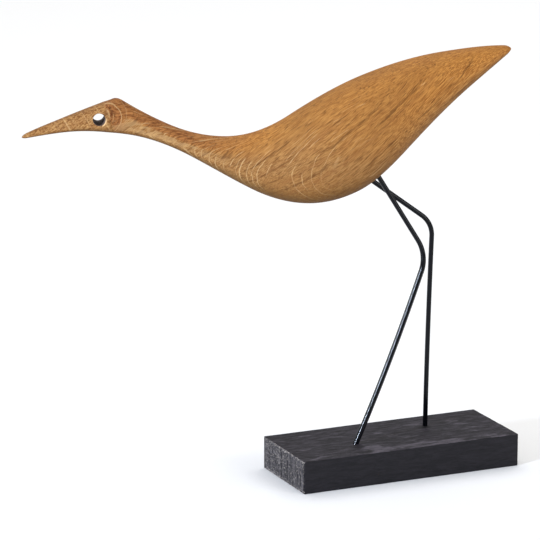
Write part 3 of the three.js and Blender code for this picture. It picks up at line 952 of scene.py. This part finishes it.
oak_shader = add(oiled_oak, "BsdfPrincipled", {}, {
    "Base Color": oak_colour,
    "Roughness": oak_roughness,
    "IOR": 1.47,
    "Specular IOR Level": 0.12,
    "Normal": oak_bump,
})
add(oiled_oak, "OutputMaterial", {}, {"Surface": oak_shader})

beak_point = to_block(np.array([BEAK_TIP, 0, (UPPER_LINE[0][1] + LOWER_LINE[0][1]) / 2]))
tail_point = to_block(np.array([TAIL_TIP, 0, (UPPER_LINE[-1][1] + LOWER_LINE[-1][1]) / 2]))
bird = closed_skin("bird_carving", bird_rings(), beak_point, tail_point)
drill_ends = [[EYE_ALONG, side * EYE_HALF_LENGTH, EYE_HEIGHT] for side in (-1, 1)]
drill_ends = to_block(np.array(drill_ends))
drill = closed_skin("eye_drill", drill_rings(), *drill_ends)
bore = bird.modifiers.new("eye", "BOOLEAN")
bore.operation = "DIFFERENCE"
bore.solver = "EXACT"
bore.object = drill
solid = bpy.data.meshes.new_from_object(bird.evaluated_get(bpy.context.evaluated_depsgraph_get()))
bird.modifiers.clear()
bird.data = solid
bpy.data.objects.remove(drill)
bird.data.set_sharp_from_angle(angle=SHARP_FROM)
bird.data.materials.clear()
bird.data.materials.append(oiled_oak)
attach(bird, "root")
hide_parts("bird")


# The studio: a pale floor that runs far past the view, soft white light from all round, a large
# softbox overhead, a smaller one on the right and a narrow one on the left, and the camera where
# the photograph was taken from.

# The camera's place is written in millimetres as its lens and its sensor are, and the floor's reach
# and the lights' sizes are in metres.
CAMERA_PLACE = Vector((-978.65, -1989.41, 684.61)) / 1000
CAMERA_RIGHT = Vector((0.91212, -0.40992, 0))
CAMERA_UP = Vector((0.09965, 0.22174, 0.97))
CAMERA_LENS = 242
CAMERA_SENSOR = 36
FLOOR_REACH = 20

camera_data = bpy.data.cameras.new("camera")
camera_data.lens = CAMERA_LENS
camera_data.sensor_width = CAMERA_SENSOR
camera_data.clip_end = 3 * FLOOR_REACH
camera = bpy.data.objects.new("camera", camera_data)
axes = Matrix((CAMERA_RIGHT, CAMERA_UP, CAMERA_RIGHT.cross(CAMERA_UP))).transposed()
camera.matrix_world = Matrix.Translation(CAMERA_PLACE) @ axes.to_4x4()
bpy.context.scene.collection.objects.link(camera)
bpy.context.scene.camera = camera

floor_mesh = bpy.data.meshes.new("floor")
floor_corners = [
    (x * FLOOR_REACH, y * FLOOR_REACH, 0) for x, y in ((-1, -1), (1, -1), (1, 1), (-1, 1))
]
floor_mesh.from_pydata(floor_corners, [], [(0, 1, 2, 3)])
floor = bpy.data.objects.new("floor", floor_mesh)
bpy.context.scene.collection.objects.link(floor)
# Matt white paper, with no pattern of its own.
paper = new_material("white_paper")
paper_shader = add(paper, "BsdfPrincipled", {}, {
    "Base Color": colour("f4f4f4"), "Roughness": 0.9, "Specular IOR Level": 0.1
})
add(paper, "OutputMaterial", {}, {"Surface": paper_shader})
floor.data.materials.append(paper)


def softbox(name, place, target, width, height, power, tint):
    """A flat light of that width and height in metres, turned to face a target."""
    data = bpy.data.lights.new(name, "AREA")
    data.shape = "RECTANGLE"
    data.size = width
    data.size_y = height
    data.energy = power
    data.color = colour(tint)[:3]
    lamp = bpy.data.objects.new(name, data)
    lamp.location = place
    lamp.rotation_euler = (target - place).to_track_quat("-Z", "Y").to_euler()
    bpy.context.scene.collection.objects.link(lamp)


# The overhead softbox hangs behind the figure and the fill stands in front of it, on the right.
towards_camera = Vector((CAMERA_PLACE.x, CAMERA_PLACE.y, 0)).normalized()
middle = Vector((0, 0, 0.14))
behind = towards_camera * -1.4
above = behind + Vector((0, 0, 2.4))
softbox("overhead", above, behind, width=3.2, height=3.2, power=60, tint="ffffff")
on_right = CAMERA_RIGHT * 1.7 + towards_camera * 1.2 + Vector((0, 0, 0.8))
softbox("fill", on_right, middle, width=1.2, height=1.2, power=17, tint="ffffff")
# A narrow softbox low on the left draws the bright line on the near leg.
strip_turn = np.radians(46)
strip_way = CAMERA_RIGHT * -np.sin(strip_turn) + towards_camera * np.cos(strip_turn)
on_left = strip_way * 1.6 + Vector((0, 0, 0.4))
near_leg = Vector((0, 0, 0.08))
softbox("strip", on_left, near_leg, width=0.1, height=0.18, power=29, tint="dce9ff")

world = bpy.data.worlds.new("studio")
world.use_nodes = True
world.node_tree.nodes["Background"].inputs["Color"].default_value = colour("ffffff")
world.node_tree.nodes["Background"].inputs["Strength"].default_value = 0.4
bpy.context.scene.world = world
bpy.context.scene.view_settings.view_transform = "Standard"
